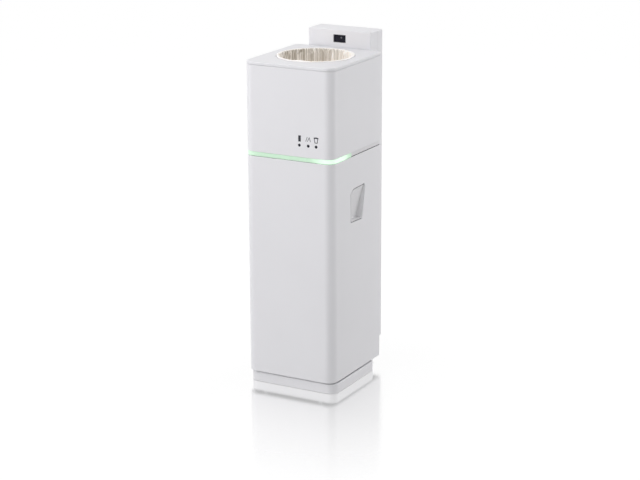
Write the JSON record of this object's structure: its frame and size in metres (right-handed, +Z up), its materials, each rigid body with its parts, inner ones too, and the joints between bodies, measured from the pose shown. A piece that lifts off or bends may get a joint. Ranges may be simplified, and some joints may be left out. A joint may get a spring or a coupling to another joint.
{
  "type": "automatic sealing waste bin",
  "caption": "Tall white floor-standing bin that seals waste in film, with a round film-lined opening, light band, slide-out casing and a rear column with odour filter and hand sensor.",
  "frame": {"origin": "on the floor under the middle of the whole box, column included", "axes": "+Z up, -Y is the front with the light band and the icons, +X is the user's right when facing the front"},
  "size_m": [0.285, 0.384, 1.007],
  "materials": {
    "casing_white": "satin-gloss moulded white",
    "pocket_white": "satin moulded white",
    "bucket_grey": "fine textured grey",
    "inner_white": "matt moulded white",
    "film_cream": "thin multi-layer film, slightly crinkled",
    "foot_rubber": "matt",
    "seal_rubber": "silicone, matt",
    "plated_steel": "zinc plated sheet",
    "bright_steel": "ground and polished",
    "cast_ballast": "as cast, oiled",
    "screw_black": "black oxide",
    "magnet_grey": "moulded ferrite",
    "aluminium_bar": "anodised clear",
    "heater_film": "thin resistance ribbon",
    "brass_gear": "cut teeth, bright",
    "rack_plastic": "natural acetal",
    "dark_plastic": "moulded dark grey",
    "fan_black": "moulded black",
    "motor_metal": "zinc plated can",
    "board_green": "solder mask green",
    "smoked_window": "smoked infrared window",
    "band_light": "frosted light diffuser, lit green",
    "strip_white": "white flexible board",
    "icon_black": "flush black inlay",
    "lens_black": "dark indicator lens, off",
    "rocker_green": "moulded green"
  },
  "bodies": {
    "stand": {"base_plate": "casing_white", "rubber_feet": "foot_rubber", "ballast_plate": "cast_ballast", "fixed_rails": "plated_steel", "latch_magnet": "magnet_grey", "column_frame": "plated_steel", "frame_screws": "screw_black", "column_shell": "casing_white", "column_back": "casing_white", "back_screws": "screw_black", "sensor_bezel": "pocket_white", "sensor_window": "smoked_window", "sensor_board": "board_green", "power_inlet": "dark_plastic", "switch_housing": "dark_plastic", "power_supply": "plated_steel", "control_board": "board_green", "carbon_filter": "dark_plastic", "fan_housing": "fan_black", "upper_housing": "casing_white", "deck_plate": "plated_steel", "band_carrier": "dark_plastic", "light_band": "band_light", "led_strip": "strip_white", "status_icons": "icon_black", "indicator_lenses": "lens_black", "display_board": "board_green", "seal_end_plates": "plated_steel", "guide_rods": "bright_steel", "motor_bracket": "plated_steel", "drive_motor": "motor_metal", "throat_funnel": "inner_white", "funnel_posts": "aluminium_bar", "film_cassette": "inner_white", "film_ring": "pocket_white", "film_liner": "film_cream", "hinge_ears": "dark_plastic", "hinge_pins": "bright_steel"},
    "lid": {"top_lid": "casing_white", "lid_gasket": "foot_rubber"},
    "waste_drawer": {"casing_shell": "casing_white", "casing_floor": "plated_steel", "grip_pockets": "pocket_white", "waste_bucket": "bucket_grey", "moving_rails": "plated_steel", "rail_screws": "bright_steel", "latch_plate": "plated_steel"},
    "rail_carriage": {"middle_rails": "plated_steel"},
    "jaw_front": {"front_jaw": "aluminium_bar", "heater_strip": "heater_film", "front_rack": "rack_plastic"},
    "jaw_rear": {"rear_jaw": "aluminium_bar", "press_rubber": "seal_rubber", "rear_rack": "rack_plastic"},
    "pinion": {"drive_pinion": "brass_gear"},
    "impeller": {"fan_impeller": "fan_black"},
    "rocker": {"power_rocker": "rocker_green"}
  },
  "joints": [
    {"name": "drawer_slide", "type": "slide", "parent": "stand", "child": "waste_drawer", "axis": [0, -1, 0], "range_m": [0, 0.28]},
    {"name": "carriage_slide", "type": "slide", "parent": "stand", "child": "rail_carriage", "axis": [0, -1, 0], "range_m": [0, 0.14]},
    {"name": "lid_hinge", "type": "hinge", "parent": "stand", "child": "lid", "pos_m": [0, 0.1125, 0.9515], "axis": [-1, 0, 0], "range_deg": [0, 82]},
    {"name": "front_jaw_slide", "type": "slide", "parent": "stand", "child": "jaw_front", "axis": [0, -1, 0], "range_m": [0, 0.045]},
    {"name": "rear_jaw_slide", "type": "slide", "parent": "stand", "child": "jaw_rear", "axis": [0, 1, 0], "range_m": [0, 0.045]},
    {"name": "pinion_spin", "type": "hinge", "parent": "stand", "child": "pinion", "pos_m": [-0.118, -0.027, 0.783], "axis": [0, 0, 1], "range_deg": [0, 186]},
    {"name": "fan_spin", "type": "hinge", "parent": "stand", "child": "impeller", "pos_m": [0, 0.158, 0.62], "axis": [0, 1, 0], "continuous": true},
    {"name": "rocker_tilt", "type": "hinge", "parent": "stand", "child": "rocker", "pos_m": [0.032, 0.187, 0.105], "axis": [-1, 0, 0], "range_deg": [0, 20]}
  ],
  "couplings": [
    {"joint": "carriage_slide", "follows": "drawer_slide", "ratio": 0.5},
    {"joint": "rear_jaw_slide", "follows": "front_jaw_slide", "ratio": 1},
    {"joint": "pinion_spin", "follows": "front_jaw_slide", "rad_per_m": 71.429}
  ]
}
